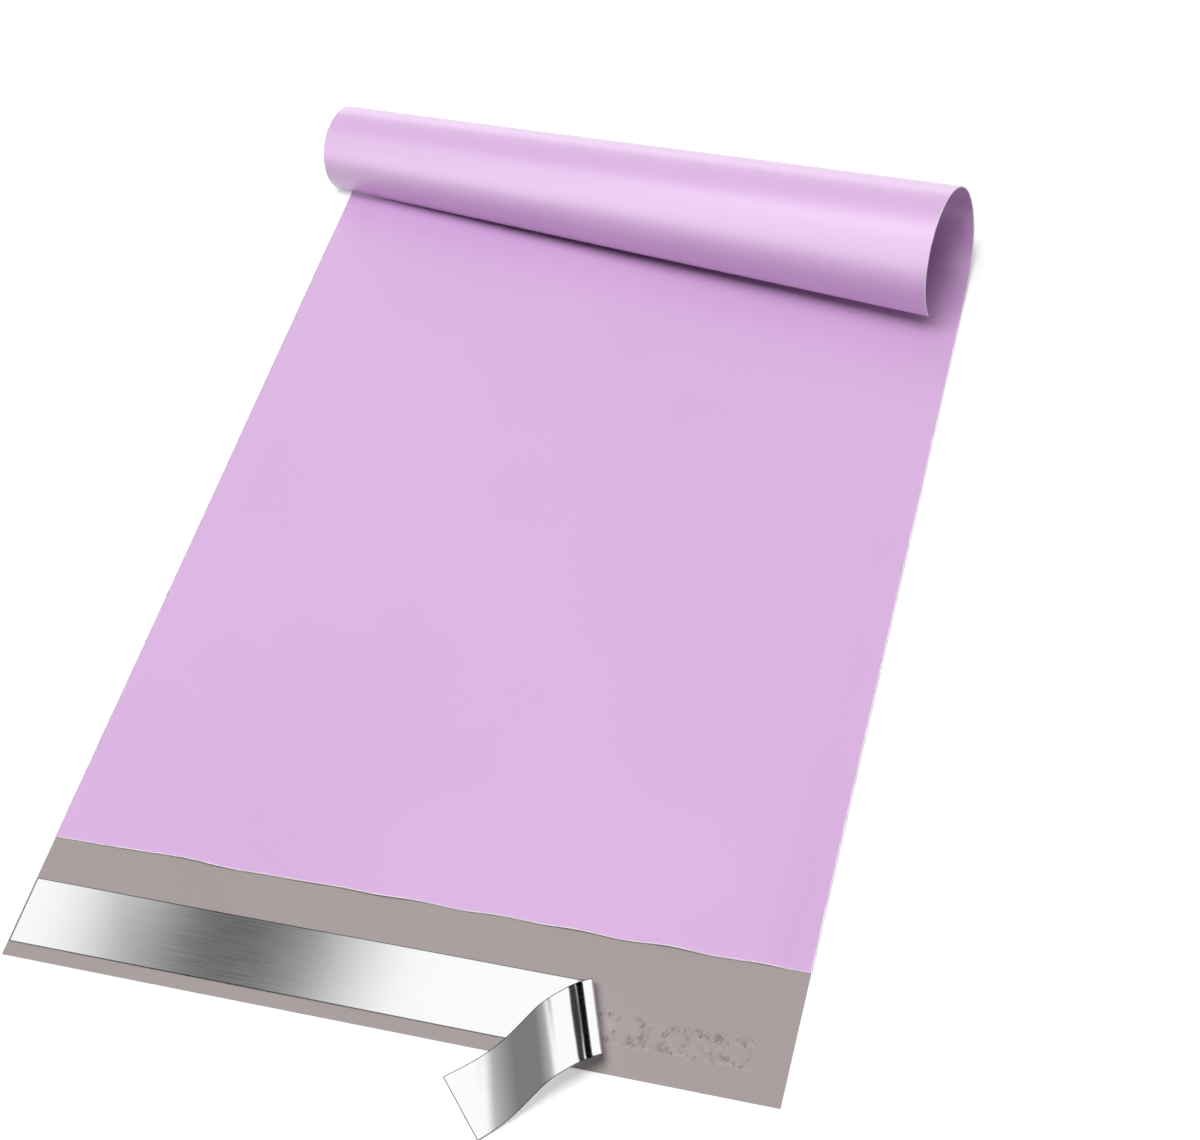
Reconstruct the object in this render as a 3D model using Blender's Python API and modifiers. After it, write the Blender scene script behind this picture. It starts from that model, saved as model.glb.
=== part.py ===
# Poly mailer bag, open and empty, lying on its back panel with the closed end curled forward.
# Frame: X across the bag, Y from the mouth towards the closed end, Z up from the table.
# The origin is on the underside, at the middle of the mouth line.

import math

import bmesh
import bpy
from mathutils import Quaternion, Vector

# Film: one web, folded at the closed end and welded along both sides
BAG_WIDTH = 0.254
PANEL_LENGTH = 0.401
FLAP_LENGTH = 0.0435
FILM_THICKNESS = 0.00008
POCKET_GAP = 0.0002
SIDE_WELD = 0.003

# Adhesive band and release liner on the inner face of the flap
TOUCH_GAP = 0.0003
ADHESIVE_WIDTH = 0.0105
ADHESIVE_THICKNESS = 0.0001
ADHESIVE_FROM_LINER_EDGE = 0.0045
ADHESIVE_END_MARGIN = 0.008
LINER_WIDTH = 0.023
LINER_THICKNESS = 0.00006
LINER_FROM_FLAP_EDGE = 0.0048
LINER_LEFT_MARGIN = 0.0005
LINER_RIGHT_MARGIN = 0.004

# Curl of the closed end: a cone whose rulings meet at an apex to the left of the bag.
# The turn is the whole bend of the left edge, the loosening is the tail's radius over the tightest
# one, and the ease is the share of the curl over which the bend builds up. The roll's radii follow
# from its length, and its tail comes down just clear of the front panel.
CURL_LENGTH = 0.0943
CURL_TURN = math.radians(305.5)
CURL_LOOSENING = 1.667
CURL_EASE_SHARE = 0.265
CURL_APEX_DISTANCE = 0.500
CURL_SKEW = math.radians(9.1)
CURL_RULINGS = 48
STEPS_PER_RULING = 6

# Peel of the release liner: a loop, a level run, then an S bend down to the flap's edge
PEEL_LENGTH = 0.066
PEEL_SKEW = math.radians(22.0)
LOOP_RADIUS = 0.0049
RUN_LENGTH = 0.008
DIP_ANGLE = math.radians(31.0)
DIP_RADIUS = 0.0085
LANDING_RADIUS = 0.023
TIP_LIFT = math.radians(17.0)
TIP_LENGTH = 0.003
FOLDED_BACK = math.pi
BEND_STEP = math.radians(12.0)

# Limits used while modelling: the angle shaded as an edge, the tilt that counts as level
SHARP_EDGE = math.radians(35.0)
LEVEL_NORMAL = 0.5
CUT_TOLERANCE = 1e-7

LILAC = (0.724, 0.480, 0.767)
INNER_GREY = (0.392, 0.342, 0.342)
ADHESIVE_GREY = (0.402, 0.352, 0.352)
SILVER = (0.80, 0.80, 0.81)

LEFT = -BAG_WIDTH / 2
RIGHT = BAG_WIDTH / 2
FLAP_EDGE = -FLAP_LENGTH
BACK_MIDDLE = FILM_THICKNESS / 2
FRONT_MIDDLE = BACK_MIDDLE + FILM_THICKNESS + POCKET_GAP
FOLD_MIDDLE = PANEL_LENGTH - FILM_THICKNESS / 2
ADHESIVE_BASE = FILM_THICKNESS + TOUCH_GAP
ADHESIVE_TOP = ADHESIVE_BASE + ADHESIVE_THICKNESS
LINER_NEAR_EDGE = FLAP_EDGE + LINER_FROM_FLAP_EDGE


def clear_scene():
    for obj in list(bpy.data.objects):
        bpy.data.objects.remove(obj, do_unlink=True)


def new_collection(name):
    collection = bpy.data.collections.new(name)
    bpy.context.scene.collection.children.link(collection)
    return collection


def make_material(name, colour, roughness, metallic=0.0):
    material = bpy.data.materials.new(name)
    material.use_nodes = True
    shader = material.node_tree.nodes["Principled BSDF"]
    shader.inputs["Base Color"].default_value = (*colour, 1.0)
    shader.inputs["Roughness"].default_value = roughness
    shader.inputs["Metallic"].default_value = metallic
    return material


def new_object(name, mesh, collection):
    obj = bpy.data.objects.new(name, mesh)
    collection.objects.link(obj)
    return obj


def mark_guide(obj):
    obj.hide_render = True
    obj.display_type = "WIRE"


def box_object(name, low, high, collection):
    """A box between two corners, made from a unit cube."""
    low, high = Vector(low), Vector(high)
    bm = bmesh.new()
    bmesh.ops.create_cube(bm, size=1.0)
    bmesh.ops.scale(bm, vec=high - low, verts=bm.verts)
    bmesh.ops.translate(bm, vec=(low + high) / 2, verts=bm.verts)
    mesh = bpy.data.meshes.new(name)
    bm.to_mesh(mesh)
    bm.free()
    return new_object(name, mesh, collection)


def evaluated_bmesh(obj):
    """The object's mesh with its modifiers, as a bmesh."""
    graph = bpy.context.evaluated_depsgraph_get()
    mesh = bpy.data.meshes.new_from_object(obj.evaluated_get(graph))
    bm = bmesh.new()
    bm.from_mesh(mesh)
    bpy.data.meshes.remove(mesh)
    return bm


# A flat blank is cut along its rulings and rolled, so each facet bends only at a ruling.


def crease(bm, point, direction):
    """Cut the blank along a vertical plane through the point, in the given flat direction."""
    across = Vector((-direction.y, direction.x, 0.0))
    everything = bm.verts[:] + bm.edges[:] + bm.faces[:]
    bmesh.ops.bisect_plane(
        bm, geom=everything, dist=CUT_TOLERANCE, plane_co=point, plane_no=across
    )


def roll_up(bm, bend):
    """Cut the blank along the bend's rulings and move each point to its rolled place."""
    for point, direction in bend.rulings():
        crease(bm, point, direction)
    for vert in bm.verts:
        vert.co = bend.place(vert.co)


def finish_rolled(name, bm, collection, materials):
    mesh = bpy.data.meshes.new(name)
    bm.to_mesh(mesh)
    bm.free()
    for material in materials:
        mesh.materials.append(material)
    mesh.shade_smooth()
    mesh.set_sharp_from_angle(angle=SHARP_EDGE)
    return new_object(name, mesh, collection)


class ConeCurl:
    """Rolls a flat sheet about rulings that all pass through one apex, without stretching it.

    A flat point is its distance from the apex and its angle past the first ruling. The rulings'
    directions trace a curve on the unit sphere whose length is that angle, so both are kept.
    """

    def __init__(self):
        self.start_angle = -CURL_SKEW
        first_point = Vector((LEFT, PANEL_LENGTH - CURL_LENGTH, 0.0))
        back = CURL_APEX_DISTANCE * math.tan(CURL_SKEW)
        self.apex = first_point + Vector((-CURL_APEX_DISTANCE, back, 0.0))
        reach = max(self.angle_of(Vector((x, PANEL_LENGTH, 0.0))) for x in (LEFT, RIGHT))
        count = CURL_RULINGS * STEPS_PER_RULING
        self.step = reach / count
        shape = [self.bend_shape((index + 0.5) * self.step, reach) for index in range(count)]
        scale = CURL_TURN / (sum(shape) * self.step)
        self.frames = self.trace([scale * share for share in shape])

    def angle_of(self, point):
        flat = point - self.apex
        return math.atan2(flat.y, flat.x) - self.start_angle

    def bend_shape(self, angle, reach):
        """How the bend is shared out: eased in, tightest first, looser at the tail."""
        ease = min(angle * CURL_APEX_DISTANCE / (CURL_EASE_SHARE * CURL_LENGTH), 1.0)
        ease = ease * ease * (3.0 - 2.0 * ease)
        return ease * (1.0 + (1.0 / CURL_LOOSENING - 1.0) * angle / reach)

    def trace(self, rates):
        """Ruling direction and surface normal after each small step of angle."""
        along = Vector((math.cos(self.start_angle), math.sin(self.start_angle), 0.0))
        normal = Vector((0.0, 0.0, 1.0))
        frames = [(along.copy(), normal.copy())]
        for rate in rates:
            axis = normal + rate * along
            turn = Quaternion(axis.normalized(), axis.length * self.step)
            along = turn @ along
            normal = turn @ normal
            frames.append((along.copy(), normal.copy()))
        return frames

    def rulings(self):
        for index in range(CURL_RULINGS):
            angle = self.start_angle + index * STEPS_PER_RULING * self.step
            yield self.apex, Vector((math.cos(angle), math.sin(angle), 0.0))

    def place(self, point):
        """Where a point of the flat blank goes; its height is kept along the normal."""
        angle = self.angle_of(point)
        if angle <= 0.0:
            return point.copy()
        place = min(angle / self.step, len(self.frames) - 1.0)
        index = min(int(place), len(self.frames) - 2)
        share = place - index
        along = self.frames[index][0].lerp(self.frames[index + 1][0], share)
        normal = self.frames[index][1].lerp(self.frames[index + 1][1], share)
        flat = Vector((point.x - self.apex.x, point.y - self.apex.y, 0.0))
        return self.apex + flat.length * along.normalized() + point.z * normal.normalized()


class SkewPeel:
    """Peels a flat strip back over itself about parallel rulings turned away from square."""

    def __init__(self, corner, rest_height, landing_height):
        self.corner = corner
        self.across = Vector((math.cos(PEEL_SKEW), math.sin(PEEL_SKEW), 0.0))
        self.along = Vector((math.sin(PEEL_SKEW), -math.cos(PEEL_SKEW), 0.0))
        top = rest_height + 2.0 * LOOP_RADIUS
        curved_drop = (DIP_RADIUS + LANDING_RADIUS) * (1.0 - math.cos(DIP_ANGLE))
        slope_length = (top - landing_height - curved_drop) / math.sin(DIP_ANGLE)
        bends = [
            (LOOP_RADIUS * FOLDED_BACK, FOLDED_BACK),
            (RUN_LENGTH, 0.0),
            (DIP_RADIUS * DIP_ANGLE, DIP_ANGLE),
            (slope_length, 0.0),
            (LANDING_RADIUS * (DIP_ANGLE + TIP_LIFT), -DIP_ANGLE - TIP_LIFT),
            (TIP_LENGTH, 0.0),
        ]
        self.stations = self.trace(bends, rest_height)

    def trace(self, bends, rest_height):
        """Distance, reach, height and heading at each ruling of the peel."""
        stations = [(0.0, 0.0, rest_height, 0.0)]
        for length, turn in bends:
            count = max(1, math.ceil(abs(turn) / BEND_STEP))
            for _ in range(count):
                distance, reach, height, heading = stations[-1]
                chord = length / count
                if turn:
                    half = turn / count / 2.0
                    chord *= math.sin(abs(half)) / abs(half)
                else:
                    half = 0.0
                reach += chord * math.cos(heading + half)
                height += chord * math.sin(heading + half)
                stations.append((distance + length / count, reach, height, heading + 2.0 * half))
        return stations

    def rulings(self):
        for distance, _, _, _ in self.stations[:-1]:
            yield self.corner + distance * self.across, self.along

    def place(self, point):
        """Where a point of the flat strip goes; its height is taken from the strip's middle."""
        flat = Vector((point.x - self.corner.x, point.y - self.corner.y, 0.0))
        distance = flat.dot(self.across)
        if distance <= 0.0:
            return Vector((point.x, point.y, self.stations[0][2] + point.z))
        index = 0
        while index < len(self.stations) - 2 and self.stations[index + 1][0] < distance:
            index += 1
        first, last = self.stations[index], self.stations[index + 1]
        share = (distance - first[0]) / (last[0] - first[0])
        reach, height, heading = (a + (b - a) * share for a, b in zip(first[1:], last[1:]))
        level = self.corner + flat.dot(self.along) * self.along + reach * self.across
        lift = point.z * math.cos(heading)
        back = -point.z * math.sin(heading)
        return Vector((level.x, level.y, 0.0)) + back * self.across + Vector((0, 0, height + lift))


def folded_web(name, collection):
    """The film's middle surface, folded at the closed end, with Solidify for its thickness."""
    section = [
        (FLAP_EDGE, BACK_MIDDLE),
        (FOLD_MIDDLE, BACK_MIDDLE),
        (FOLD_MIDDLE, FRONT_MIDDLE),
        (0.0, FRONT_MIDDLE),
    ]
    bm = bmesh.new()
    verts = [bm.verts.new((LEFT, y, z)) for y, z in section]
    edges = [bm.edges.new(pair) for pair in zip(verts, verts[1:])]
    swept = bmesh.ops.extrude_edge_only(bm, edges=edges)["geom"]
    moved = [item for item in swept if isinstance(item, bmesh.types.BMVert)]
    bmesh.ops.translate(bm, vec=(BAG_WIDTH, 0.0, 0.0), verts=moved)
    bmesh.ops.recalc_face_normals(bm, faces=bm.faces)
    mesh = bpy.data.meshes.new(name)
    bm.to_mesh(mesh)
    bm.free()
    web = new_object(name, mesh, collection)
    wall = web.modifiers.new("film", "SOLIDIFY")
    wall.thickness = FILM_THICKNESS
    wall.offset = 0.0
    wall.use_even_offset = True
    return web


def weld_sides(web, collection):
    """Fuse the two panels along both side edges, from the mouth to the closed end."""
    for side, x in (("left", LEFT), ("right", RIGHT - SIDE_WELD)):
        low = (x, 0.0, BACK_MIDDLE)
        high = (x + SIDE_WELD, FOLD_MIDDLE, FRONT_MIDDLE)
        bar = box_object(side + "_weld_guide", low, high, collection)
        mark_guide(bar)
        weld = web.modifiers.new(side + " weld", "BOOLEAN")
        weld.operation = "UNION"
        weld.object = bar


def faces_the_pocket(face):
    """True on the web's grey side: the pocket's two walls and the flap's upper face."""
    height = face.calc_center_median().z
    on_back = face.normal.z > LEVEL_NORMAL and height < FRONT_MIDDLE
    under_front = face.normal.z < -LEVEL_NORMAL and height > BACK_MIDDLE
    return on_back or under_front


def make_film(parts, guides):
    web = folded_web("web_guide", guides)
    mark_guide(web)
    weld_sides(web, guides)
    bm = evaluated_bmesh(web)
    for face in bm.faces:
        face.material_index = 1 if faces_the_pocket(face) else 0
    roll_up(bm, ConeCurl())
    film = [
        make_material("lilac_film", LILAC, roughness=0.32),
        make_material("grey_inner_film", INNER_GREY, roughness=0.5),
    ]
    return finish_rolled("mailer_film", bm, parts, film)


def make_adhesive(parts):
    near = LINER_NEAR_EDGE + ADHESIVE_FROM_LINER_EDGE
    low = (LEFT + ADHESIVE_END_MARGIN, near, ADHESIVE_BASE)
    high = (RIGHT - ADHESIVE_END_MARGIN, near + ADHESIVE_WIDTH, ADHESIVE_TOP)
    strip = box_object("adhesive_strip", low, high, parts)
    strip.data.materials.append(make_material("hot_melt_adhesive", ADHESIVE_GREY, roughness=0.35))
    return strip


def make_liner(parts, guides):
    far = LINER_NEAR_EDGE + LINER_WIDTH
    half = LINER_THICKNESS / 2
    right_end = RIGHT - LINER_RIGHT_MARGIN
    low = (LEFT + LINER_LEFT_MARGIN, LINER_NEAR_EDGE, -half)
    high = (right_end, far, half)
    blank = box_object("liner_guide", low, high, guides)
    mark_guide(blank)
    peel = SkewPeel(
        corner=Vector((right_end - PEEL_LENGTH, far, 0.0)),
        rest_height=ADHESIVE_TOP + TOUCH_GAP + half,
        landing_height=FILM_THICKNESS + TOUCH_GAP + half,
    )
    bm = evaluated_bmesh(blank)
    roll_up(bm, peel)
    silver = [make_material("silvered_release_film", SILVER, roughness=0.2, metallic=1.0)]
    return finish_rolled("release_liner", bm, parts, silver)


def main():
    clear_scene()
    parts = new_collection("poly_mailer_bag")
    guides = new_collection("guides")
    make_film(parts, guides)
    make_adhesive(parts)
    make_liner(parts, guides)


main()
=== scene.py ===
import math

import bpy
import numpy as np
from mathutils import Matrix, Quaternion, Vector


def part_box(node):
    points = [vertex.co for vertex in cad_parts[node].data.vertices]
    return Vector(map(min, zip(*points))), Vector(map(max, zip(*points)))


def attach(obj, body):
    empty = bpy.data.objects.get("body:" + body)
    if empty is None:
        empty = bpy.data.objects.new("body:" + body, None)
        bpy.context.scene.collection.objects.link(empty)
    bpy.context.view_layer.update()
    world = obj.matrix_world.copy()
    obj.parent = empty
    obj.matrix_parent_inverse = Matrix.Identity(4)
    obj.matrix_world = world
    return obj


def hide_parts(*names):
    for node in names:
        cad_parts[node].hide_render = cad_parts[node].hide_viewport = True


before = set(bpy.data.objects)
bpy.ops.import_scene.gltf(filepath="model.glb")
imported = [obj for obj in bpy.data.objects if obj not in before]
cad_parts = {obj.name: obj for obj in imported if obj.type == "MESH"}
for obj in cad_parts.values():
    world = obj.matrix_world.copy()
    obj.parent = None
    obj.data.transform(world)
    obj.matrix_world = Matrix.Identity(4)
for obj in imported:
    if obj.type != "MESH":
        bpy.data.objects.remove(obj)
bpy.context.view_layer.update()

# Sizes of the bag, in metres. The width and the flap come from the frame; what the frame's boxes
# can't give is repeated here as the bag is made.
FILM_LOW, FILM_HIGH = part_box("mailer_film")
LINER_LOW, LINER_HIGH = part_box("release_liner")
ADHESIVE_LOW, ADHESIVE_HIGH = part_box("adhesive_strip")
RIGHT = FILM_HIGH.x
LEFT = -RIGHT
FLAP_EDGE = FILM_LOW.y
PANEL_LENGTH = 0.401
FILM_THICKNESS = 0.00008
POCKET_GAP = 0.0002
SIDE_WELD = 0.003
BACK_MIDDLE = FILM_THICKNESS / 2
FRONT_MIDDLE = BACK_MIDDLE + FILM_THICKNESS + POCKET_GAP

# Curl of the closed end, about rulings that meet at an apex to the left of the bag
CURL_LENGTH = 0.0943
CURL_TURN = math.radians(305.5)
CURL_LOOSENING = 1.667
CURL_EASE_SHARE = 0.265
CURL_APEX_DISTANCE = 0.500
CURL_SKEW = math.radians(9.1)
CURL_STEPS = 288

# Release liner and the way it is peeled
LINER_WIDTH = 0.023
LINER_THICKNESS = 0.00006
LINER_RIGHT_MARGIN = 0.004
PEEL_LENGTH = 0.066
PEEL_SKEW = math.radians(22.0)
LOOP_BENDS = (
    (0.00554, math.radians(85.0)),
    (0.00120, math.radians(48.0)),
    (0.01200, math.radians(47.0)),
)
LOOP_SHIFT = 0.0005
RUN_LENGTH = 0.0025
DIP_ANGLE = math.radians(31.0)
DIP_RADIUS = 0.0140
LANDING_RADIUS = 0.028
TIP_LIFT = math.radians(8.0)
TIP_LENGTH = 0.006
BEND_STEP = math.radians(2.0)

# The camera of the photograph, fitted to the flat panel's four edges
CAMERA_PLACE = Vector((0.22088, -0.27310, 0.59042))
CAMERA_TARGET = Vector((0.02434, 0.13516, 0.0))
CAMERA_ROLL = math.radians(-13.25)
CAMERA_LENS = 64.5

SHARP_EDGE = math.radians(40.0)


# Small tools

def linear(hex_colour):
    """An sRGB hex colour as linear RGBA."""
    parts = [int(hex_colour[i:i + 2], 16) / 255 for i in (1, 3, 5)]
    return (*(p / 12.92 if p <= 0.04045 else ((p + 0.055) / 1.055) ** 2.4 for p in parts), 1.0)


def add(tree, kind, settings=None, **inputs):
    """Adds a node. Settings are its properties; an input is a value or the socket that feeds it."""
    node = tree.nodes.new(kind)
    for name, value in (settings or {}).items():
        setattr(node, name, value)
    for name, value in inputs.items():
        socket = node.inputs[int(name[1:]) if name[1:].isdigit() else name.replace("_", " ")]
        if isinstance(value, bpy.types.NodeSocket):
            tree.links.new(value, socket)
        else:
            socket.default_value = value
    return node


def socket_id(tree, name):
    """The identifier under which a modifier keeps the tree's named input."""
    items = [item for item in tree.interface.items_tree if item.item_type == "SOCKET"]
    return next(i.identifier for i in items if i.name == name and i.in_out == "INPUT")


def smooth_step(value):
    value = np.clip(value, 0.0, 1.0)
    return value * value * (3.0 - 2.0 * value)


def gentle_waves(x, y, wavelength, seed, count=7):
    """Smooth unevenness of slack film, mostly between -1 and 1: plane waves of unlike directions."""
    rng = np.random.default_rng(seed)
    total = np.zeros(np.broadcast(x, y).shape)
    for _ in range(count):
        heading, phase = rng.uniform(0.0, 2.0 * math.pi, 2)
        rate = 2.0 * math.pi / (wavelength * rng.uniform(0.7, 1.6))
        total += np.sin(rate * (x * math.cos(heading) + y * math.sin(heading)) + phase)
    return total / math.sqrt(count)


def mesh_object(name, verts, faces, materials=()):
    mesh = bpy.data.meshes.new(name)
    mesh.from_pydata([tuple(v) for v in verts], [], faces)
    mesh.update()
    for material in materials:
        mesh.materials.append(material)
    obj = bpy.data.objects.new(name, mesh)
    bpy.context.scene.collection.objects.link(obj)
    return obj


def grid_faces(rows, columns):
    """Quads of a grid whose points are stored row by row."""
    return [
        (r * columns + c, r * columns + c + 1, (r + 1) * columns + c + 1, (r + 1) * columns + c)
        for r in range(rows - 1)
        for c in range(columns - 1)
    ]


def flat_uv(obj, across, along, name="web"):
    """Keeps two lengths at each point, in metres, as a UV map that bends with the film."""
    layer = obj.data.uv_layers.new(name=name)
    for loop in obj.data.loops:
        layer.data[loop.index].uv = (across[loop.vertex_index], along[loop.vertex_index])


def as_plain_mesh(obj):
    """The object's mesh with its modifiers and nodes worked out, and the modifiers gone."""
    graph = bpy.context.evaluated_depsgraph_get()
    mesh = bpy.data.meshes.new_from_object(obj.evaluated_get(graph))
    obj.modifiers.clear()
    obj.data = mesh
    mesh.shade_smooth()
    mesh.set_sharp_from_angle(angle=SHARP_EDGE)
    return obj


# Materials, with the real sizes of their patterns in metres

FILM_GRAIN = 0.0012
FILM_GRAIN_HEIGHT = 0.00005
FOIL_GRAIN = 0.0006
BEAD_CLOUD = 0.004
ADHESIVE_SMEAR = 0.006
# Widths of the painted shade along the liner's edges: full out to the first, gone by the second
EDGE_SHADE_FULL = 0.00018
EDGE_SHADE_END = 0.00038


def film_material(name, light, dark, roughness, skin, cloud, die_line):
    """Blown polyethylene film: satin, with soft clouding and faint die lines along the web.

    The eye gets a colour that is never quite even, a broad soft highlight from the clear skin
    layer, and fine streaks in the shine that follow the film round the curl. The skin's IOR is
    above the film's own 1.51, matched to how strongly the curl shines.
    """
    material = bpy.data.materials.new(name)
    material.use_nodes = True
    tree = material.node_tree
    shader = tree.nodes["Principled BSDF"]
    place = add(tree, "ShaderNodeUVMap", {"uv_map": "web"}).outputs["UV"]
    clouds = add(
        tree, "ShaderNodeTexNoise", {"noise_dimensions": "2D"},
        Vector=place, Scale=1.0 / cloud, Detail=2.0, Roughness=0.5,
    )
    streak_place = add(tree, "ShaderNodeMapping", Vector=place, Scale=(0.02, 1.0, 1.0))
    streaks = add(
        tree, "ShaderNodeTexNoise", {"noise_dimensions": "2D"},
        Vector=streak_place.outputs["Vector"], Scale=1.0 / die_line, Detail=3.0, Roughness=0.6,
    )
    spread = add(
        tree, "ShaderNodeMapRange",
        Value=clouds.outputs["Fac"], From_Min=0.3, From_Max=0.7, To_Min=0.0, To_Max=1.0,
    )
    colour = add(
        tree, "ShaderNodeMix", {"data_type": "RGBA"},
        _0=spread.outputs["Result"], _6=linear(light), _7=linear(dark),
    )
    shine = add(
        tree, "ShaderNodeMapRange",
        Value=streaks.outputs["Fac"], From_Min=0.3, From_Max=0.7,
        To_Min=roughness - 0.03, To_Max=roughness + 0.04,
    )
    grain = add(
        tree, "ShaderNodeTexNoise", {"noise_dimensions": "2D"},
        Vector=place, Scale=1.0 / FILM_GRAIN, Detail=2.0, Roughness=0.5,
    )
    height = add(
        tree, "ShaderNodeMath", {"operation": "ADD"},
        _0=grain.outputs["Fac"], _1=streaks.outputs["Fac"],
    )
    bump = add(
        tree, "ShaderNodeBump",
        Strength=0.12, Distance=FILM_GRAIN_HEIGHT, Height=height.outputs["Value"],
    )
    tree.links.new(colour.outputs[2], shader.inputs["Base Color"])
    tree.links.new(shine.outputs["Result"], shader.inputs["Roughness"])
    tree.links.new(bump.outputs["Normal"], shader.inputs["Normal"])
    shader.inputs["IOR"].default_value = 1.51
    shader.inputs["Coat Weight"].default_value = skin
    shader.inputs["Coat Roughness"].default_value = 0.33
    shader.inputs["Coat IOR"].default_value = 2.0
    return material


def edge_material_with_painted_highlight():
    """The film's cut and heat-sealed edge: melted polyethylene, paler than the face and painted near
    white as a painted highlight along the edge.
    """
    material = bpy.data.materials.new("sealed_film_edge_painted_highlight")
    material.use_nodes = True
    tree = material.node_tree
    shader = tree.nodes["Principled BSDF"]
    place = add(tree, "ShaderNodeTexCoord").outputs["Object"]
    beads = add(tree, "ShaderNodeTexNoise", Vector=place, Scale=1.0 / BEAD_CLOUD, Detail=1.0)
    # Near-white colours: the bead's paler tone with a painted highlight in it
    colour = add(
        tree, "ShaderNodeMix", {"data_type": "RGBA"},
        _0=beads.outputs["Fac"], _6=linear("#FBF4FC"), _7=linear("#EEDCF2"),
    )
    tree.links.new(colour.outputs[2], shader.inputs["Base Color"])
    shader.inputs["Roughness"].default_value = 0.35
    shader.inputs["IOR"].default_value = 1.51
    shader.inputs["Subsurface Weight"].default_value = 1.0
    shader.inputs["Subsurface Radius"].default_value = (1.0, 1.0, 1.0)
    shader.inputs["Subsurface Scale"].default_value = 0.001
    return material


def silvered_liner_material():
    """Vacuum-metallised release film: a near mirror, cut to width from a wide roll.

    The eye gets a soft picture of the room that goes dark or bright as the strip turns, a fine
    grain along the strip, and a thin grey line of painted shade along its edges.
    """
    material = bpy.data.materials.new("silvered_release_film")
    material.use_nodes = True
    tree = material.node_tree
    shader = tree.nodes["Principled BSDF"]
    place = add(tree, "ShaderNodeUVMap", {"uv_map": "web"}).outputs["UV"]
    drawn = add(tree, "ShaderNodeMapping", Vector=place, Scale=(0.03, 1.0, 1.0))
    grain = add(
        tree, "ShaderNodeTexNoise", {"noise_dimensions": "2D"},
        Vector=drawn.outputs["Vector"], Scale=1.0 / FOIL_GRAIN, Detail=3.0, Roughness=0.6,
    )
    shine = add(
        tree, "ShaderNodeMapRange",
        Value=grain.outputs["Fac"], From_Min=0.3, From_Max=0.7, To_Min=0.085, To_Max=0.11,
    )
    colour = add(
        tree, "ShaderNodeMix", {"data_type": "RGBA"},
        _0=grain.outputs["Fac"], _6=linear("#FDFDFE"), _7=linear("#F9F9FA"),
    )
    distances = add(tree, "ShaderNodeUVMap", {"uv_map": "from_edge"})
    from_edge = add(tree, "ShaderNodeSeparateXYZ", Vector=distances.outputs["UV"])
    nearest = add(
        tree, "ShaderNodeMath", {"operation": "MINIMUM"},
        _0=from_edge.outputs["X"], _1=from_edge.outputs["Y"],
    )
    unshaded_share = add(
        tree, "ShaderNodeMapRange",
        Value=nearest.outputs["Value"], From_Min=EDGE_SHADE_FULL, From_Max=EDGE_SHADE_END,
        To_Min=0.0, To_Max=1.0,
    )
    # Grey painted along the liner's edges: painted shade where the strip meets the film
    painted_edge_shade = add(
        tree, "ShaderNodeMix", {"data_type": "RGBA"},
        _0=unshaded_share.outputs["Result"], _6=linear("#6E6E70"), _7=colour.outputs[2],
    )
    tree.links.new(painted_edge_shade.outputs[2], shader.inputs["Base Color"])
    tree.links.new(shine.outputs["Result"], shader.inputs["Roughness"])
    shader.inputs["Metallic"].default_value = 1.0
    return material


def hot_melt_material():
    """Bare hot-melt adhesive over grey film: clear, tacky, a little glossier than the film."""
    material = bpy.data.materials.new("hot_melt_adhesive")
    material.use_nodes = True
    tree = material.node_tree
    shader = tree.nodes["Principled BSDF"]
    place = add(tree, "ShaderNodeTexCoord").outputs["Object"]
    smears = add(tree, "ShaderNodeTexNoise", Vector=place, Scale=1.0 / ADHESIVE_SMEAR, Detail=3.0)
    colour = add(
        tree, "ShaderNodeMix", {"data_type": "RGBA"},
        _0=smears.outputs["Fac"], _6=linear("#989090"), _7=linear("#9F9595"),
    )
    shine = add(
        tree, "ShaderNodeMapRange",
        Value=smears.outputs["Fac"], From_Min=0.3, From_Max=0.7, To_Min=0.22, To_Max=0.38,
    )
    tree.links.new(colour.outputs[2], shader.inputs["Base Color"])
    tree.links.new(shine.outputs["Result"], shader.inputs["Roughness"])
    shader.inputs["IOR"].default_value = 1.5
    return material


# The film

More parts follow.
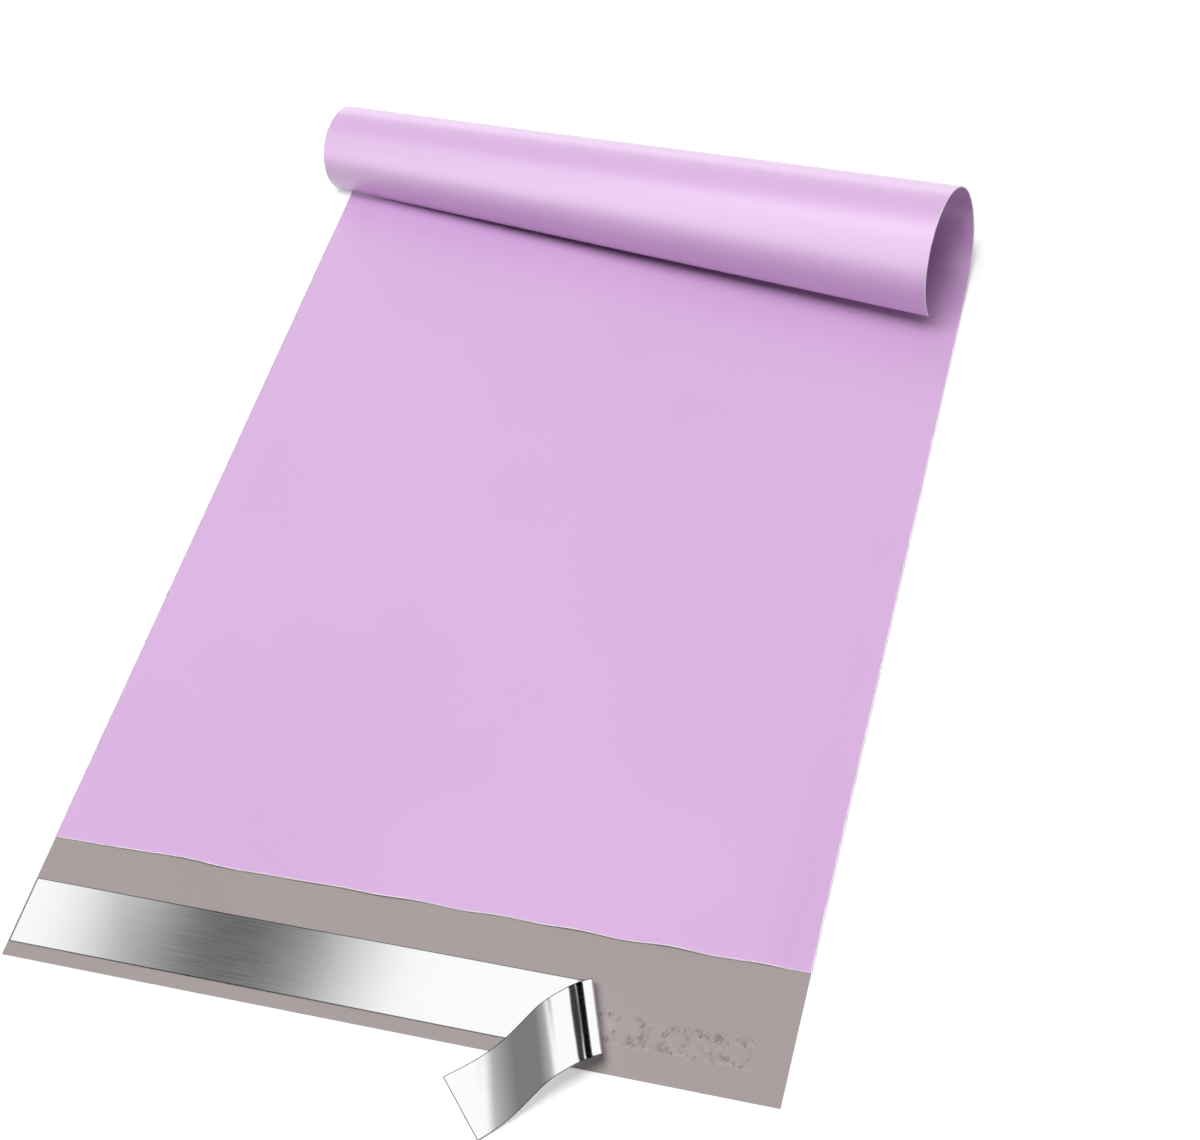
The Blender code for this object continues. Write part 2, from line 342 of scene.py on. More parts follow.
class ConeCurl:
    """Rolls points of the flat bag about rulings through one apex, without stretching it."""

    def __init__(self):
        back = CURL_APEX_DISTANCE * math.tan(CURL_SKEW)
        self.apex = np.array((LEFT - CURL_APEX_DISTANCE, PANEL_LENGTH - CURL_LENGTH + back, 0.0))
        corners = np.array(((LEFT, PANEL_LENGTH), (RIGHT, PANEL_LENGTH)))
        reach = self.angle_of(corners).max()
        self.step = reach / CURL_STEPS
        middles = (np.arange(CURL_STEPS) + 0.5) * self.step
        ease = smooth_step(middles * CURL_APEX_DISTANCE / (CURL_EASE_SHARE * CURL_LENGTH))
        shape = ease * (1.0 + (1.0 / CURL_LOOSENING - 1.0) * middles / reach)
        rates = shape * CURL_TURN / (shape.sum() * self.step)
        along = Vector((math.cos(CURL_SKEW), -math.sin(CURL_SKEW), 0.0))
        normal = Vector((0.0, 0.0, 1.0))
        frames = [(*along, *normal)]
        for rate in rates:
            axis = normal + float(rate) * along
            turn = Quaternion(axis.normalized(), axis.length * self.step)
            along = turn @ along
            normal = turn @ normal
            frames.append((*along, *normal))
        self.frames = np.array(frames)

    def angle_of(self, flat):
        away = flat - self.apex[:2]
        return np.arctan2(away[:, 1], away[:, 0]) + CURL_SKEW

    def place(self, flat, height):
        """Where flat points go; each one's height is kept along the film's normal."""
        angle = self.angle_of(flat)
        stop = np.clip(angle / self.step, 0.0, CURL_STEPS)
        index = np.minimum(stop.astype(int), CURL_STEPS - 1)
        share = (stop - index)[:, None]
        frames = self.frames[index] * (1.0 - share) + self.frames[index + 1] * share
        along = frames[:, :3] / np.linalg.norm(frames[:, :3], axis=1)[:, None]
        normal = frames[:, 3:] / np.linalg.norm(frames[:, 3:], axis=1)[:, None]
        reach = np.linalg.norm(flat - self.apex[:2], axis=1)[:, None]
        rolled = self.apex + reach * along + height[:, None] * normal
        level = np.column_stack((flat, height))
        return np.where((angle > 0.0)[:, None], rolled, level)


# Unevenness of the film: heights, and the lengths of their waves

FLAP_LIFT = 0.00012
FLAP_WAVE_LENGTH = 0.09
PUFF_HEIGHT = 0.00035
PUFF_WAVE_LENGTH = 0.11
PUFF_FADE = 0.03
SLACK_SCALE = 0.7
MOUTH_WAVE = 0.00030
MOUTH_WAVE_LENGTH = 0.030
MOUTH_LIFT = 0.00030
GAPE_WAVE_LENGTH = 0.035
GAPE_SHIFT = 0.2
MOUTH_FADE = 0.02
WELD_FADE = 0.012
CLOSED_LAYERS = 1.15
# The near-white bead along the mouth is a painted highlight line on the cut mouth edge
MOUTH_BEAD_RADIUS = 0.00020

# How finely the web is divided

WELD_COLUMNS = (0.0, 0.0008, 0.0018, 0.003, 0.0044)
INNER_MARGIN = 0.006
INNER_COLUMNS = 93
CURL_MARGIN = 0.004
FLAP_ROWS = 24
BACK_ROWS = 28
CURL_ROWS = 112
FRONT_ROWS = 104
FOLD_ROWS = 9


def flap_lift(x, y):
    """How far the back panel stands off the table: next to nothing, but not dead flat."""
    return FLAP_LIFT * 0.5 * (1.0 + np.tanh(gentle_waves(x, y, FLAP_WAVE_LENGTH, seed=3)))


def web_columns():
    """Places across the bag, closer together at the side welds."""
    inner = np.linspace(LEFT + INNER_MARGIN, RIGHT - INNER_MARGIN, INNER_COLUMNS)
    edge = np.array(WELD_COLUMNS)
    return np.concatenate((LEFT + edge, inner, (RIGHT - edge)[::-1]))


def web_rows():
    """Rows from the flap's edge, up the back panel, round the fold and down to the mouth.

    Each is its place up the bag and how far it is round the fold: 0 on the back, 1 on the front.
    """
    curl_start = PANEL_LENGTH - CURL_LENGTH - (RIGHT - LEFT) * math.tan(CURL_SKEW) - CURL_MARGIN
    fold = PANEL_LENGTH - FRONT_MIDDLE / 2
    flap = np.linspace(FLAP_EDGE, 0.0, FLAP_ROWS)
    back = np.linspace(0.0, curl_start, BACK_ROWS)[1:]
    curl = np.linspace(curl_start, fold, CURL_ROWS)[1:]
    front = np.linspace(curl_start, 0.0, FRONT_ROWS)[1:]
    up = np.concatenate((flap, back, curl))
    down = np.concatenate((curl[::-1][1:], [curl_start], front))
    round_fold = np.linspace(0.0, 1.0, FOLD_ROWS)[1:]
    place = np.concatenate((up, np.full(len(round_fold), fold), down))
    turn = np.concatenate((np.zeros(len(up)), round_fold, np.ones(len(down))))
    return place, turn


def make_film(curl, lilac, grey, edge):
    """One web of film: flap and back panel, the fold, and the front panel down to the mouth."""
    column_places = web_columns()
    row_places, row_turns = web_rows()
    columns, rows = len(column_places), len(row_places)
    x = np.tile(column_places, rows)
    y = np.repeat(row_places, columns)
    turn = np.repeat(row_turns, columns)
    from_side = np.minimum(x - LEFT, RIGHT - x)
    open_share = smooth_step((from_side - SIDE_WELD) / WELD_FADE)
    near_mouth = smooth_step(1.0 - y / MOUTH_FADE)
    slack = SLACK_SCALE * (1.0 + np.tanh(gentle_waves(x, y, PUFF_WAVE_LENGTH, seed=11)))
    puff = PUFF_HEIGHT * slack * smooth_step(y / PUFF_FADE)
    gape_waves = gentle_waves(x, 0.0 * y, GAPE_WAVE_LENGTH, seed=5)
    gape = SLACK_SCALE * (1.0 + np.tanh(gape_waves - GAPE_SHIFT))
    lip = MOUTH_LIFT * near_mouth * gape
    closed = FILM_THICKNESS * CLOSED_LAYERS
    back = BACK_MIDDLE + flap_lift(x, y)
    front = back + closed + (FRONT_MIDDLE - BACK_MIDDLE - closed + puff + lip) * open_share
    height = back + (front - back) * 0.5 * (1.0 - np.cos(np.pi * turn))
    place = y + (front - back) * 0.5 * np.sin(np.pi * turn)
    wave = MOUTH_WAVE * gentle_waves(x, 0.0 * y, MOUTH_WAVE_LENGTH, seed=8)
    place += np.where(turn == 1.0, wave * near_mouth * (from_side > 0.0), 0.0)
    verts = curl.place(np.column_stack((x, place)), height)
    film = mesh_object("mailer_film_web", verts, grid_faces(rows, columns), (grey, lilac, edge))
    along = np.where(turn < 0.5, y, 2.0 * PANEL_LENGTH - y)
    flat_uv(film, x, along)
    # Path of the near-white bead along the mouth: a painted highlight line
    mouth = verts[-columns:] + np.array((0.0, 0.0, MOUTH_BEAD_RADIUS / 2))
    wall = film.modifiers.new("film", "SOLIDIFY")
    wall.thickness = FILM_THICKNESS
    wall.offset = 0.0
    wall.material_offset = 1
    # The film's rim takes the near-white edge material: a painted highlight along every cut edge
    wall.material_offset_rim = 2
    return as_plain_mesh(film), mouth


# The side welds: the hot wire that cuts the bag leaves a thin bead along each side

BEAD_RADIUS = 0.00027
CLOSE_POINTS_FROM = 0.26
FLAT_POINTS = 60
CLOSE_POINTS = 220


def bead_tree(material):
    """A geometry node tree that sweeps a round bead along a path."""
    tree = bpy.data.node_groups.new("weld_bead", "GeometryNodeTree")
    face = tree.interface
    face.new_socket("Geometry", in_out="INPUT", socket_type="NodeSocketGeometry")
    face.new_socket("Bead radius", in_out="INPUT", socket_type="NodeSocketFloat")
    face.new_socket("Geometry", in_out="OUTPUT", socket_type="NodeSocketGeometry")
    given = add(tree, "NodeGroupInput")
    path = add(tree, "GeometryNodeMeshToCurve", Mesh=given.outputs["Geometry"])
    ring = add(
        tree, "GeometryNodeCurvePrimitiveCircle",
        Resolution=8, Radius=given.outputs["Bead radius"],
    )
    swept = add(
        tree, "GeometryNodeCurveToMesh",
        Curve=path.outputs["Curve"], Profile_Curve=ring.outputs["Curve"], Fill_Caps=True,
    )
    real = add(tree, "GeometryNodeRealizeInstances", Geometry=swept.outputs["Mesh"])
    painted = add(
        tree, "GeometryNodeSetMaterial",
        Geometry=real.outputs["Geometry"], Material=material,
    )
    add(tree, "NodeGroupOutput", Geometry=painted.outputs["Geometry"])
    return tree


def make_bead(name, path, radius, tree):
    """A bead along a path of points."""
    mesh = bpy.data.meshes.new(name)
    mesh.from_pydata([tuple(p) for p in path], [(i, i + 1) for i in range(len(path) - 1)], [])
    bead = bpy.data.objects.new(name, mesh)
    bpy.context.scene.collection.objects.link(bead)
    modifier = bead.modifiers.new("bead", "NODES")
    modifier.node_group = tree
    modifier[socket_id(tree, "Bead radius")] = radius
    return as_plain_mesh(bead)


def side_path(x, curl):
    """One side of the bag, from the mouth to the fold and round the curl with the film."""
    flat_part = np.linspace(0.0, CLOSE_POINTS_FROM, FLAT_POINTS)
    rolled_part = np.linspace(CLOSE_POINTS_FROM, PANEL_LENGTH - BEAD_RADIUS, CLOSE_POINTS)[1:]
    y = np.concatenate((flat_part, rolled_part))
    across = np.full(len(y), x)
    height = np.full(len(y), BEAD_RADIUS) + flap_lift(across, y)
    return curl.place(np.column_stack((across, y)), height)


# The release liner

class SkewPeel:
    """Peels the flat liner back over itself about parallel rulings turned away from square."""

    def __init__(self, corner, rest_height, landing_height):
        self.corner = np.array(corner)
        self.across = np.array((math.cos(PEEL_SKEW), math.sin(PEEL_SKEW)))
        self.along = np.array((math.sin(PEEL_SKEW), -math.cos(PEEL_SKEW)))
        top, heading = rest_height, 0.0
        for radius, turn in LOOP_BENDS:
            top += radius * (math.cos(heading) - math.cos(heading + turn))
            heading += turn
        curved_drop = (DIP_RADIUS + LANDING_RADIUS) * (1.0 - math.cos(DIP_ANGLE))
        slope_length = (top - landing_height - curved_drop) / math.sin(DIP_ANGLE)
        landing_turn = DIP_ANGLE + TIP_LIFT
        bends = [
            *((radius * turn, turn) for radius, turn in LOOP_BENDS),
            (RUN_LENGTH, 0.0),
            (DIP_RADIUS * DIP_ANGLE, DIP_ANGLE),
            (slope_length, 0.0),
            (LANDING_RADIUS * landing_turn, -landing_turn),
            (TIP_LENGTH, 0.0),
        ]
        stations = [(-1.0, -1.0, rest_height, 0.0), (0.0, 0.0, rest_height, 0.0)]
        for length, turn in bends:
            count = max(1, math.ceil(abs(turn) / BEND_STEP))
            for _ in range(count):
                distance, reach, height, heading = stations[-1]
                middle = heading + turn / count / 2.0
                reach += length / count * math.cos(middle)
                height += length / count * math.sin(middle)
                stations.append((distance + length / count, reach, height, heading + turn / count))
        self.stations = np.array(stations)

    def place(self, flat, height):
        """Where flat points go; each one's height is taken from the liner's middle."""
        away = flat - self.corner
        distance = away @ self.across
        reach, level, heading = (
            np.interp(distance, self.stations[:, 0], self.stations[:, i]) for i in (1, 2, 3)
        )
        reach = reach - height * np.sin(heading)
        flat_place = self.corner + np.outer(away @ self.along, self.along)
        flat_place = flat_place + np.outer(reach, self.across)
        return np.column_stack((flat_place, level + height * np.cos(heading)))


LINER_REST = 0.00030
LINER_LANDING = 0.00020
LINER_WAVE = 0.00003
LINER_WAVE_LENGTH = 0.060
STUCK_FADE = 0.02
STUCK_COLUMNS = 110
PEELED_COLUMNS = 240
LINER_ROWS = 22


def make_liner(silver):
    """The silvered liner, still stuck down on the left and peeled back from the right end."""
    left = LINER_LOW.x
    right = RIGHT - LINER_RIGHT_MARGIN
    far = LINER_HIGH.y
    near = far - LINER_WIDTH
    stuck = np.linspace(left, right - PEEL_LENGTH - LINER_WIDTH, STUCK_COLUMNS)
    peeled = np.linspace(stuck[-1], right, PEELED_COLUMNS)[1:]
    x = np.concatenate((stuck, peeled))
    y = np.linspace(near, far, LINER_ROWS)
    columns = len(x)
    x, y = np.tile(x, len(y)), np.repeat(y, len(x))
    corner = right - PEEL_LENGTH + LOOP_SHIFT / math.cos(PEEL_SKEW)
    peel = SkewPeel((corner, far), LINER_REST, LINER_LANDING)
    distance = (np.column_stack((x, y)) - peel.corner) @ peel.across
    still_stuck = smooth_step(-distance / STUCK_FADE)
    waves = LINER_WAVE * gentle_waves(x, y, LINER_WAVE_LENGTH, seed=21)
    unevenness = waves + flap_lift(x, y)
    verts = peel.place(np.column_stack((x, y)), unevenness * still_stuck)
    liner = mesh_object("release_liner_strip", verts, grid_faces(LINER_ROWS, columns), (silver,))
    flat_uv(liner, x, y)
    flat_uv(liner, np.minimum(x - left, right - x), np.minimum(y - near, far - y), "from_edge")
    wall = liner.modifiers.new("foil", "SOLIDIFY")
    wall.thickness = LINER_THICKNESS
    wall.offset = 0.0
    return as_plain_mesh(liner)


# The adhesive

ADHESIVE_THICKNESS = 0.00010
ADHESIVE_SKIN = 0.00001
BARE_LEFT = 0.062
END_WAVE = 0.0008
END_WAVE_LENGTH = 0.005
END_TAPER = 4.0
BORDER_WAVE = 0.0003
BORDER_WAVE_LENGTH = 0.006
BORDER_TAPER = 0.0011
COVERED_COLUMNS = 60
BARE_COLUMNS = 380
ADHESIVE_ROWS = 72
CREASE_SEED = 4
CREASE_HEIGHT = 0.00065
CREASE_WIDTH = 0.00050
TICK_LENGTH = 0.0022
TICK_BAND = 0.0030
TICK_DENSITY = 210000.0
LONG_CREASE_LENGTH = 0.0090
LONG_CREASE_DENSITY = 26000.0
CREASE_STEPS = 8
CREASE_LEAN = 0.55
CREASE_BEND = 0.0022
CREASE_WANDER = (0.0022, 0.0008, 0.0)
CREASE_PATCH = 0.0025
PUCKER = 0.0036
PUCKER_DEPTH = 0.00006
PUCKER_HEIGHT = 0.00012
CREASES_FROM = 0.0012
CREASES_FADE = 0.0015


def crease_lines(tree, centre, size, density, length, seed):
    """Wandering lines that lie roughly across the band, scattered over a patch of it."""
    patch = add(
        tree, "GeometryNodeMeshGrid", Size_X=size[0], Size_Y=size[1], Vertices_X=2, Vertices_Y=2
    )
    moved = add(
        tree, "GeometryNodeTransform", Geometry=patch.outputs["Mesh"], Translation=centre
    )
    points = add(
        tree, "GeometryNodeDistributePointsOnFaces",
        Mesh=moved.outputs["Geometry"], Density=density, Seed=seed,
    )
    line = add(
        tree, "GeometryNodeMeshLine", {"mode": "OFFSET"}, Count=CREASE_STEPS + 1,
        Start_Location=(0.0, -length / 2, 0.0), Offset=(0.0, length / CREASE_STEPS, 0.0),
    )
    lean = add(
        tree, "FunctionNodeRandomValue", {"data_type": "FLOAT_VECTOR"},
        _0=(0.0, 0.0, -CREASE_LEAN), _1=(0.0, 0.0, CREASE_LEAN), Seed=seed,
    )
    growth = add(
        tree, "FunctionNodeRandomValue", {"data_type": "FLOAT"}, _2=0.4, _3=1.25, Seed=seed
    )
    lines = add(
        tree, "GeometryNodeInstanceOnPoints",
        Points=points.outputs["Points"], Instance=line.outputs["Mesh"],
        Rotation=lean.outputs[0], Scale=growth.outputs[1],
    )
    real = add(tree, "GeometryNodeRealizeInstances", Geometry=lines.outputs["Instances"])
    bends = add(tree, "ShaderNodeTexNoise", Scale=1.0 / CREASE_BEND, Detail=1.0)
    away = add(
        tree, "ShaderNodeVectorMath", {"operation": "SUBTRACT"},
        _0=bends.outputs["Color"], _1=(0.5, 0.5, 0.5),
    )
    wander = add(
        tree, "ShaderNodeVectorMath", {"operation": "MULTIPLY"},
        _0=away.outputs["Vector"], _1=CREASE_WANDER,
    )
    return add(
        tree, "GeometryNodeSetPosition",
        Geometry=real.outputs["Geometry"], Offset=wander.outputs["Vector"],
    ).outputs["Geometry"]


def crease_tree(material):
    """A geometry node tree that draws the bare adhesive up into small creases."""
    tree = bpy.data.node_groups.new("creased_adhesive", "GeometryNodeTree")
    face = tree.interface
    face.new_socket("Geometry", in_out="INPUT", socket_type="NodeSocketGeometry")
    for name, kind in (
        ("Crease height", "NodeSocketFloat"),
        ("Crease width", "NodeSocketFloat"),
        ("Seed", "NodeSocketInt"),
    ):
        face.new_socket(name, in_out="INPUT", socket_type=kind)
    face.new_socket("Geometry", in_out="OUTPUT", socket_type="NodeSocketGeometry")
    given = add(tree, "NodeGroupInput").outputs
    middle = (BARE_LEFT + ADHESIVE_HIGH.x) / 2
    length = ADHESIVE_HIGH.x - BARE_LEFT
    near, far = ADHESIVE_LOW.y, ADHESIVE_HIGH.y
    everything = add(tree, "GeometryNodeJoinGeometry")
    for centre, width, density, crease, salt in (
        (far - TICK_BAND / 2, TICK_BAND, TICK_DENSITY, TICK_LENGTH, 0),
        (near + TICK_BAND / 2, TICK_BAND, TICK_DENSITY, TICK_LENGTH, 1),
        ((near + far) / 2, far - near, LONG_CREASE_DENSITY, LONG_CREASE_LENGTH, 2),
    ):
        seed = add(
            tree, "ShaderNodeMath", {"operation": "ADD"}, _0=given["Seed"], _1=float(salt)
        ).outputs["Value"]
        lines = crease_lines(
            tree, (middle, centre, 0.0), (length, width), density, crease, seed
        )
        tree.links.new(lines, everything.inputs[0])
    where = add(tree, "GeometryNodeInputPosition")
    flat = add(
        tree, "ShaderNodeVectorMath", {"operation": "MULTIPLY"},
        _0=where.outputs["Position"], _1=(1.0, 1.0, 0.0),
    )
    near_line = add(
        tree, "GeometryNodeProximity", {"target_element": "EDGES"},
        Geometry=everything.outputs["Geometry"], Sample_Position=flat.outputs["Vector"],
    )
    ridge = add(
        tree, "ShaderNodeMapRange", {"interpolation_type": "SMOOTHSTEP"},
        Value=near_line.outputs["Distance"], From_Min=0.0, From_Max=given["Crease width"],
        To_Min=given["Crease height"], To_Max=0.0,
    )
    uneven = add(
        tree, "ShaderNodeTexNoise",
        Vector=flat.outputs["Vector"], Scale=1.0 / CREASE_PATCH, Detail=1.0,
    )
    strength = add(
        tree, "ShaderNodeMapRange",
        Value=uneven.outputs["Fac"], From_Min=0.38, From_Max=0.62, To_Min=0.3, To_Max=1.1,
    )
    drawn_up = add(
        tree, "ShaderNodeMath", {"operation": "MULTIPLY"},
        _0=ridge.outputs["Result"], _1=strength.outputs["Result"],
    )
    pucker = add(
        tree, "ShaderNodeTexNoise", Vector=flat.outputs["Vector"], Scale=1.0 / PUCKER, Detail=2.0
    )
    slack = add(
        tree, "ShaderNodeMapRange",
        Value=pucker.outputs["Fac"], From_Min=0.3, From_Max=0.7,
        To_Min=-PUCKER_DEPTH, To_Max=PUCKER_HEIGHT,
    )
    swell = add(
        tree, "ShaderNodeMath", {"operation": "ADD"},
        _0=slack.outputs["Result"], _1=drawn_up.outputs["Value"],
    )
    bare = add(
        tree, "GeometryNodeInputNamedAttribute", {"data_type": "FLOAT"}, Name="bare_share"
    )
    rise = add(
        tree, "ShaderNodeMath", {"operation": "MULTIPLY"},
        _0=swell.outputs["Value"], _1=bare.outputs[0],
    )
    lift = add(tree, "ShaderNodeCombineXYZ", Z=rise.outputs["Value"])
    shaped = add(
        tree, "GeometryNodeSetPosition",
        Geometry=given["Geometry"], Offset=lift.outputs["Vector"],
    )
    real = add(tree, "GeometryNodeRealizeInstances", Geometry=shaped.outputs["Geometry"])
    painted = add(
        tree, "GeometryNodeSetMaterial", Geometry=real.outputs["Geometry"], Material=material
    )
    add(tree, "NodeGroupOutput", Geometry=painted.outputs["Geometry"])
    return tree


def peel_line(y):
    """Where the liner leaves the adhesive, across the bag."""
    corner = RIGHT - LINER_RIGHT_MARGIN - PEEL_LENGTH + LOOP_SHIFT / math.cos(PEEL_SKEW)
    return corner + (LINER_HIGH.y - y) * math.tan(PEEL_SKEW)


def make_adhesive(material):
    """A band with thinned, uneven borders; its top is finely divided where it is bare."""
    covered = np.linspace(ADHESIVE_LOW.x, BARE_LEFT, COVERED_COLUMNS)
    bare = np.linspace(BARE_LEFT, ADHESIVE_HIGH.x, BARE_COLUMNS)[1:]
    x = np.concatenate((covered, bare))
    y = np.linspace(ADHESIVE_LOW.y, ADHESIVE_HIGH.y, ADHESIVE_ROWS)
    columns, rows = len(x), len(y)
    across, along = np.tile(x, rows), np.repeat(y, columns)
    end_waves = gentle_waves(across, along, END_WAVE_LENGTH, seed=31)
    from_end = ADHESIVE_HIGH.x - across - END_WAVE * (1.0 + end_waves)
    from_border = np.minimum(along - ADHESIVE_LOW.y, ADHESIVE_HIGH.y - along)
    border_waves = gentle_waves(across, along, BORDER_WAVE_LENGTH, seed=32)
    from_border = np.minimum(from_border - BORDER_WAVE * border_waves, from_end / END_TAPER)
    full = smooth_step(from_border / BORDER_TAPER)
    base = FILM_THICKNESS + ADHESIVE_SKIN + flap_lift(across, along)
    top = base + ADHESIVE_SKIN + (ADHESIVE_THICKNESS - ADHESIVE_SKIN) * full
    floor_x, floor_y = np.tile(x, 2), np.repeat(y[[0, -1]], columns)
    floor_z = FILM_THICKNESS + ADHESIVE_SKIN + flap_lift(floor_x, floor_y)
    verts = np.concatenate(
        (np.column_stack((across, along, top)), np.column_stack((floor_x, floor_y, floor_z)))
    )
    under = rows * columns
    last = (rows - 1) * columns
    faces = grid_faces(rows, columns)
    for c in range(columns - 1):
        faces.append((c + 1, c, under + c, under + c + 1))
        faces.append((last + c, last + c + 1, under + columns + c + 1, under + columns + c))
        faces.append((under + c + 1, under + c, under + columns + c, under + columns + c + 1))
    start_side = [r * columns for r in range(rows)]
    end_side = [r * columns + columns - 1 for r in range(rows)]
    faces.append((*start_side, under + columns, under))
    faces.append((*end_side[::-1], under + columns - 1, under + 2 * columns - 1))
    band = mesh_object("adhesive_band", verts, faces)
    past_peel = across - peel_line(along) - CREASES_FROM
    bare_share = smooth_step(past_peel / CREASES_FADE) * full
    shares = np.concatenate((bare_share, np.zeros(2 * columns)))
    band.data.attributes.new("bare_share", "FLOAT", "POINT").data.foreach_set("value", shares)
    tree = crease_tree(material)
    modifier = band.modifiers.new("creases", "NODES")
    modifier.node_group = tree
    modifier[socket_id(tree, "Crease height")] = CREASE_HEIGHT
    modifier[socket_id(tree, "Crease width")] = CREASE_WIDTH
    modifier[socket_id(tree, "Seed")] = CREASE_SEED
    return as_plain_mesh(band)


# Studio

FLOOR_GLOW = 0.31
GLOW_START = 0.6
GLOW_FULL = 2.2
TABLE_SIZE = 12.0
TABLE_GAP = 0.0002


def seen_or_mirrored(tree):
    """1 for camera rays, mirrored rays and rays through clear things, and 0 for light."""
    rays = add(tree, "ShaderNodeLightPath").outputs
    seen = add(
        tree, "ShaderNodeMath", {"operation": "MAXIMUM"},
        _0=rays["Is Camera Ray"], _1=rays["Is Glossy Ray"],
    )
    return add(
        tree, "ShaderNodeMath", {"operation": "MAXIMUM"},
        _0=seen.outputs["Value"], _1=rays["Is Transmission Ray"],
    ).outputs["Value"]


def make_floor():
    """A white table that glows a little where it is seen, and turns full white further out.

    Near the bag only the shadows stay grey, and far off the table meets the white room unseen.
    """
    material = bpy.data.materials.new("white_table")
    material.use_nodes = True
    tree = material.node_tree
    tree.nodes.clear()
    place = add(tree, "ShaderNodeTexCoord").outputs["Object"]
    away = add(tree, "ShaderNodeVectorMath", {"operation": "LENGTH"}, _0=place)
    glow = add(
        tree, "ShaderNodeMapRange",
        Value=away.outputs["Value"], From_Min=GLOW_START, From_Max=GLOW_FULL,
        To_Min=FLOOR_GLOW, To_Max=1.0,
    )
    strength = add(
        tree, "ShaderNodeMath", {"operation": "MULTIPLY"},
        _0=seen_or_mirrored(tree), _1=glow.outputs["Result"],
    )
    matt = add(tree, "ShaderNodeBsdfDiffuse", Color=(0.80, 0.80, 0.80, 1.0))
    white = add(
        tree, "ShaderNodeEmission", Color=(1.0, 1.0, 1.0, 1.0), Strength=strength.outputs["Value"]
    )
    both = add(tree, "ShaderNodeAddShader", _0=matt.outputs["BSDF"], _1=white.outputs["Emission"])
    add(tree, "ShaderNodeOutputMaterial", Surface=both.outputs["Shader"])
    bpy.ops.mesh.primitive_plane_add(size=TABLE_SIZE, location=(0.0, 0.0, -TABLE_GAP))
    floor = bpy.context.object
    floor.name = "table"
    floor.data.materials.append(material)


AMBIENT = 0.11


def make_world():
    """An even white room: full white where it is seen or mirrored, softer as a light."""
    world = bpy.data.worlds.new("white_room")
    bpy.context.scene.world = world
    world.use_nodes = True
    tree = world.node_tree
    tree.nodes.clear()
    strength = add(
        tree, "ShaderNodeMapRange", Value=seen_or_mirrored(tree), To_Min=AMBIENT, To_Max=1.0
    )
    sky = add(
        tree, "ShaderNodeBackground", Color=(1.0, 1.0, 1.0, 1.0), Strength=strength.outputs["Result"]
    )
    add(tree, "ShaderNodeOutputWorld", Surface=sky.outputs["Background"])


def soft_box(name, place, aim, width, height, power, roll=0.0):
    """A rectangular soft light that faces the point it is aimed at."""
    lamp = bpy.data.lights.new(name, "AREA")
    lamp.shape = "RECTANGLE"
    lamp.size = width
    lamp.size_y = height
    lamp.energy = power
    obj = bpy.data.objects.new(name, lamp)
    obj.location = place
    obj.rotation_mode = "QUATERNION"
    facing = (Vector(aim) - Vector(place)).to_track_quat("-Z", "Y")
    obj.rotation_quaternion = facing @ Quaternion((0.0, 0.0, 1.0), math.radians(roll))
    bpy.context.scene.collection.objects.link(obj)
    return obj


def soft_card(name, place, aim, size, core, darkness):
    """A black card that only mirrors see, and that fades out towards its edges.

    Core is the share of its half width and half height that is fully dark.
    """
    material = bpy.data.materials.new(name)
    material.use_nodes = True
    tree = material.node_tree
    tree.nodes.clear()
    place_on_card = add(tree, "ShaderNodeTexCoord").outputs["Object"]
    axes = add(tree, "ShaderNodeSeparateXYZ", Vector=place_on_card)
    amount = darkness
    for axis, share in zip("XY", core):
        away = add(tree, "ShaderNodeMath", {"operation": "ABSOLUTE"}, _0=axes.outputs[axis])
        fade = add(
            tree, "ShaderNodeMapRange",
            Value=away.outputs["Value"], From_Min=share / 2, From_Max=0.5, To_Min=1.0, To_Max=0.0,
        )
        product = add(
            tree, "ShaderNodeMath", {"operation": "MULTIPLY"}, _0=fade.outputs["Result"], _1=amount
        )
        amount = product.outputs["Value"]
    black = add(tree, "ShaderNodeBsdfDiffuse", Color=(0.0, 0.0, 0.0, 1.0))
    clear = add(tree, "ShaderNodeBsdfTransparent")
    mixed = add(
        tree, "ShaderNodeMixShader", _0=amount, _1=clear.outputs["BSDF"], _2=black.outputs["BSDF"]
    )
    add(tree, "ShaderNodeOutputMaterial", Surface=mixed.outputs["Shader"])
    bpy.ops.mesh.primitive_plane_add(size=1.0)
    card = bpy.context.object
    card.name = name
    card.scale = (*size, 1.0)
    card.location = place
    card.rotation_mode = "QUATERNION"
    card.rotation_quaternion = (Vector(aim) - Vector(place)).to_track_quat("Z", "Y")
    card.data.materials.append(material)
    card.visible_camera = False
    card.visible_diffuse = False
    card.visible_transmission = False
    card.visible_shadow = False


def make_camera():
    camera = bpy.data.objects.new("camera", bpy.data.cameras.new("camera"))
    camera.data.lens = CAMERA_LENS
    camera.location = CAMERA_PLACE
    camera.rotation_mode = "QUATERNION"
    facing = (CAMERA_TARGET - CAMERA_PLACE).to_track_quat("-Z", "Y")
    camera.rotation_quaternion = facing @ Quaternion((0.0, 0.0, 1.0), CAMERA_ROLL)
    bpy.context.scene.collection.objects.link(camera)
    bpy.context.scene.camera = camera


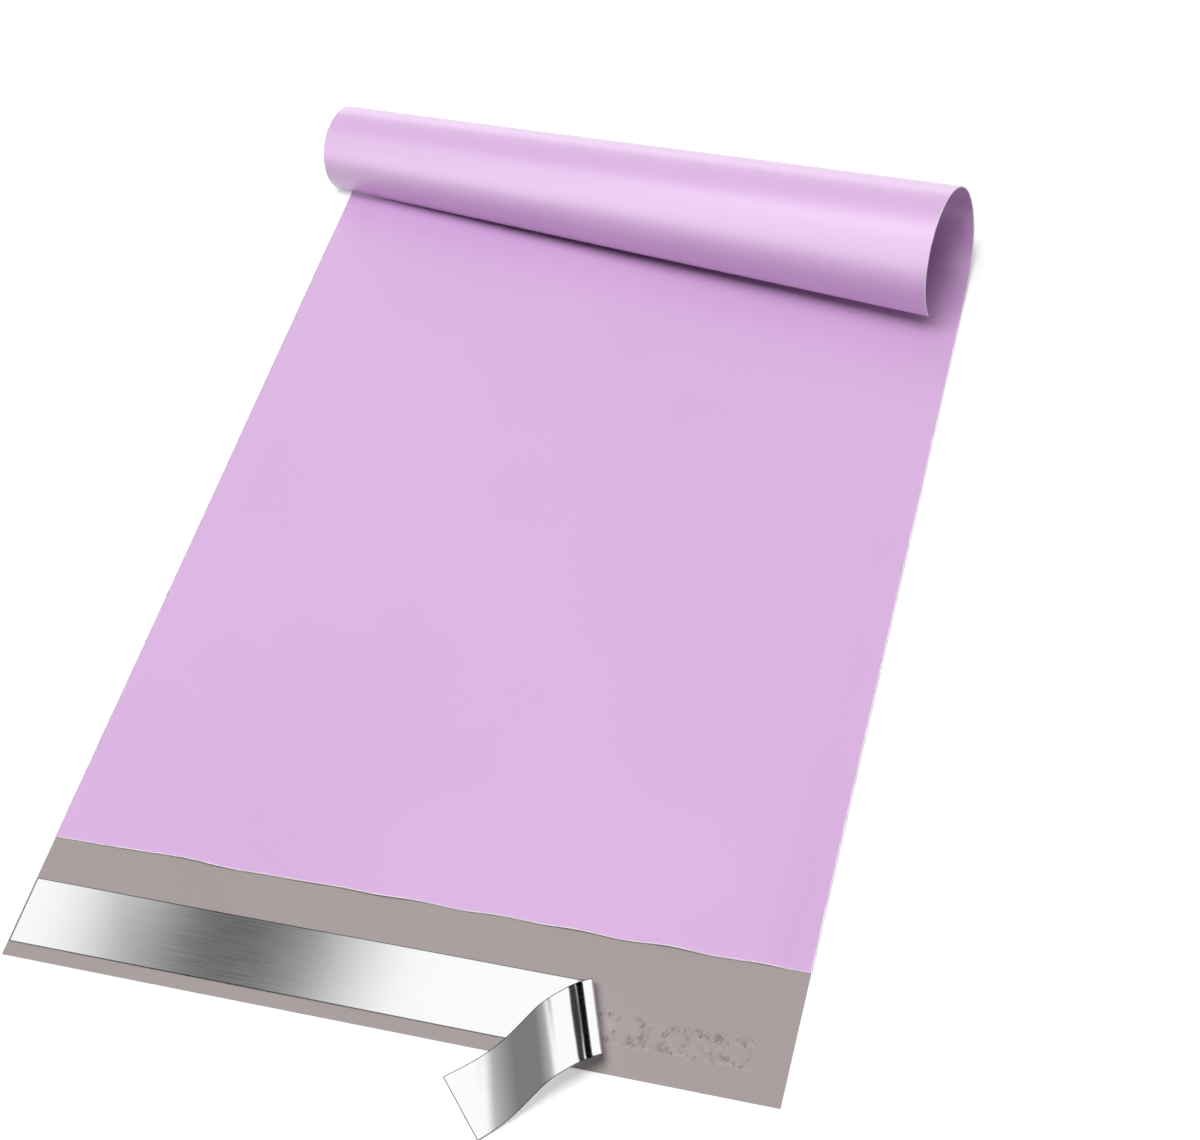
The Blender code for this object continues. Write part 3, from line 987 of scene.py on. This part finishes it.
def make_studio():
    """The lamps and the cards that the liner mirrors.

    The shine box gives the curl its highlight and is only mirrored. The overhead box lights from
    above and isn't mirrored, so that it puts no glare on the flat panel.
    """
    make_camera()
    make_world()
    make_floor()
    shine = soft_box(
        "shine_box", (-2.88, -2.65, 2.81), (0.03, 0.28, 0.03),
        width=3.0, height=7.4, power=134.0, roll=24.7,
    )
    shine.visible_diffuse = False
    overhead = soft_box(
        "overhead_box", (-0.22, -0.1, 2.4), (0.0, 0.15, 0.0),
        width=1.35, height=1.35, power=61.0,
    )
    overhead.visible_glossy = False
    soft_box(
        "back_box", (-0.5, 2.3, 0.45), (0.0, 0.3, 0.0),
        width=2.4, height=0.8, power=6.0,
    )
    soft_box(
        "right_box", (2.2, 0.2, 0.7), (0.1, 0.1, 0.0),
        width=1.0, height=0.8, power=6.0,
    )
    soft_card(
        "liner_card", (-0.428, 0.33, 0.80), (-0.428, 0.331, 0.0),
        size=(0.29, 0.22), core=(0.15, 0.6), darkness=0.90,
    )
    soft_card(
        "slope_card", (-1.0, -0.05, 0.40), (0.0, -0.05, 0.40),
        size=(1.1, 5.2), core=(0.6, 0.02), darkness=0.80,
    )
    soft_card(
        "loop_card_high", (0.1165, 0.1335, 0.2555), (0.06, -0.03, 0.01),
        size=(0.1, 0.09), core=(0.8, 0.8), darkness=0.97,
    )
    soft_card(
        "loop_card_low", (0.263, 0.262, 0.283), (0.06, -0.03, 0.01),
        size=(0.2, 0.154), core=(0.8, 0.85), darkness=1.0,
    )
    bpy.context.scene.view_settings.view_transform = "Standard"


# The bag

make_studio()
lilac_film = film_material(
    "lilac_film", "#CCA1D2", "#C99ED0", roughness=0.42, skin=1.0, cloud=0.09, die_line=0.0016
)
grey_film = film_material(
    "grey_inner_film", "#9D9393", "#9A9090", roughness=0.5, skin=0.0, cloud=0.05, die_line=0.0016
)
# Near-white edge material for the film's rim and the beads: a painted highlight along the edges
edge_film_with_painted_highlight = edge_material_with_painted_highlight()
curl = ConeCurl()

film, mouth_path = make_film(curl, lilac_film, grey_film, edge_film_with_painted_highlight)
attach(film, "root")
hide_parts("mailer_film")

beads = bead_tree(edge_film_with_painted_highlight)
for name, path, radius in (
    ("left_weld_bead", side_path(LEFT, curl), BEAD_RADIUS),
    ("right_weld_bead", side_path(RIGHT, curl), BEAD_RADIUS),
    # The mouth's bead: a painted highlight line along the cut edge
    ("mouth_highlight_bead", mouth_path, MOUTH_BEAD_RADIUS),
):
    bead = make_bead(name, path, radius, beads)
    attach(bead, "root")

adhesive = make_adhesive(hot_melt_material())
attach(adhesive, "root")
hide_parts("adhesive_strip")

liner = make_liner(silvered_liner_material())
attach(liner, "root")
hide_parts("release_liner")
